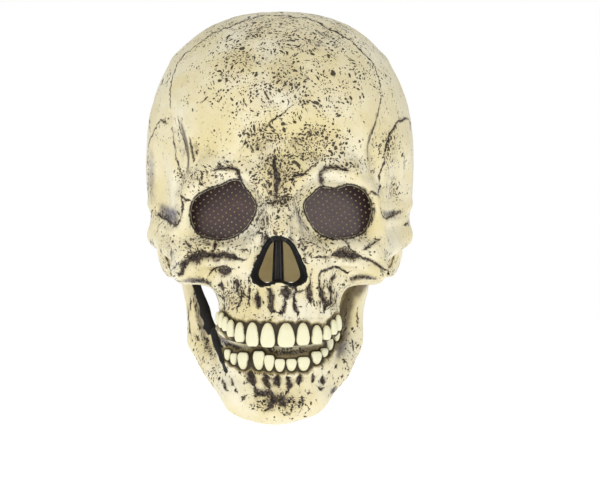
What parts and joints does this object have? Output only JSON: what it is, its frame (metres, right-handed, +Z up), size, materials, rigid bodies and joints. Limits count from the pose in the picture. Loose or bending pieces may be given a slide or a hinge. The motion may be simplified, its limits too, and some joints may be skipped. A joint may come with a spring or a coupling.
{
  "type": "skull mask",
  "caption": "Over-the-head skull mask in soft cast latex, painted as aged bone, with a separate lower jaw, open nose and dark perforated eye screens",
  "frame": {"origin": "inside of the crown, where the head carries the mask", "axes": "+Z up, -Y the way the face looks, +X to the right in the picture"},
  "size_m": [0.1908, 0.2386, 0.2886],
  "materials": {
    "bone_latex": "matte painted natural latex",
    "bone_latex_jaw": "matte painted natural latex",
    "screen_plastic": "dark smoked perforated sheet"
  },
  "bodies": {
    "root": {"skull_shell": "bone_latex", "jaw_shell": "bone_latex_jaw", "eye_screen_left": "screen_plastic", "eye_screen_right": "screen_plastic"}
  },
  "joints": []
}
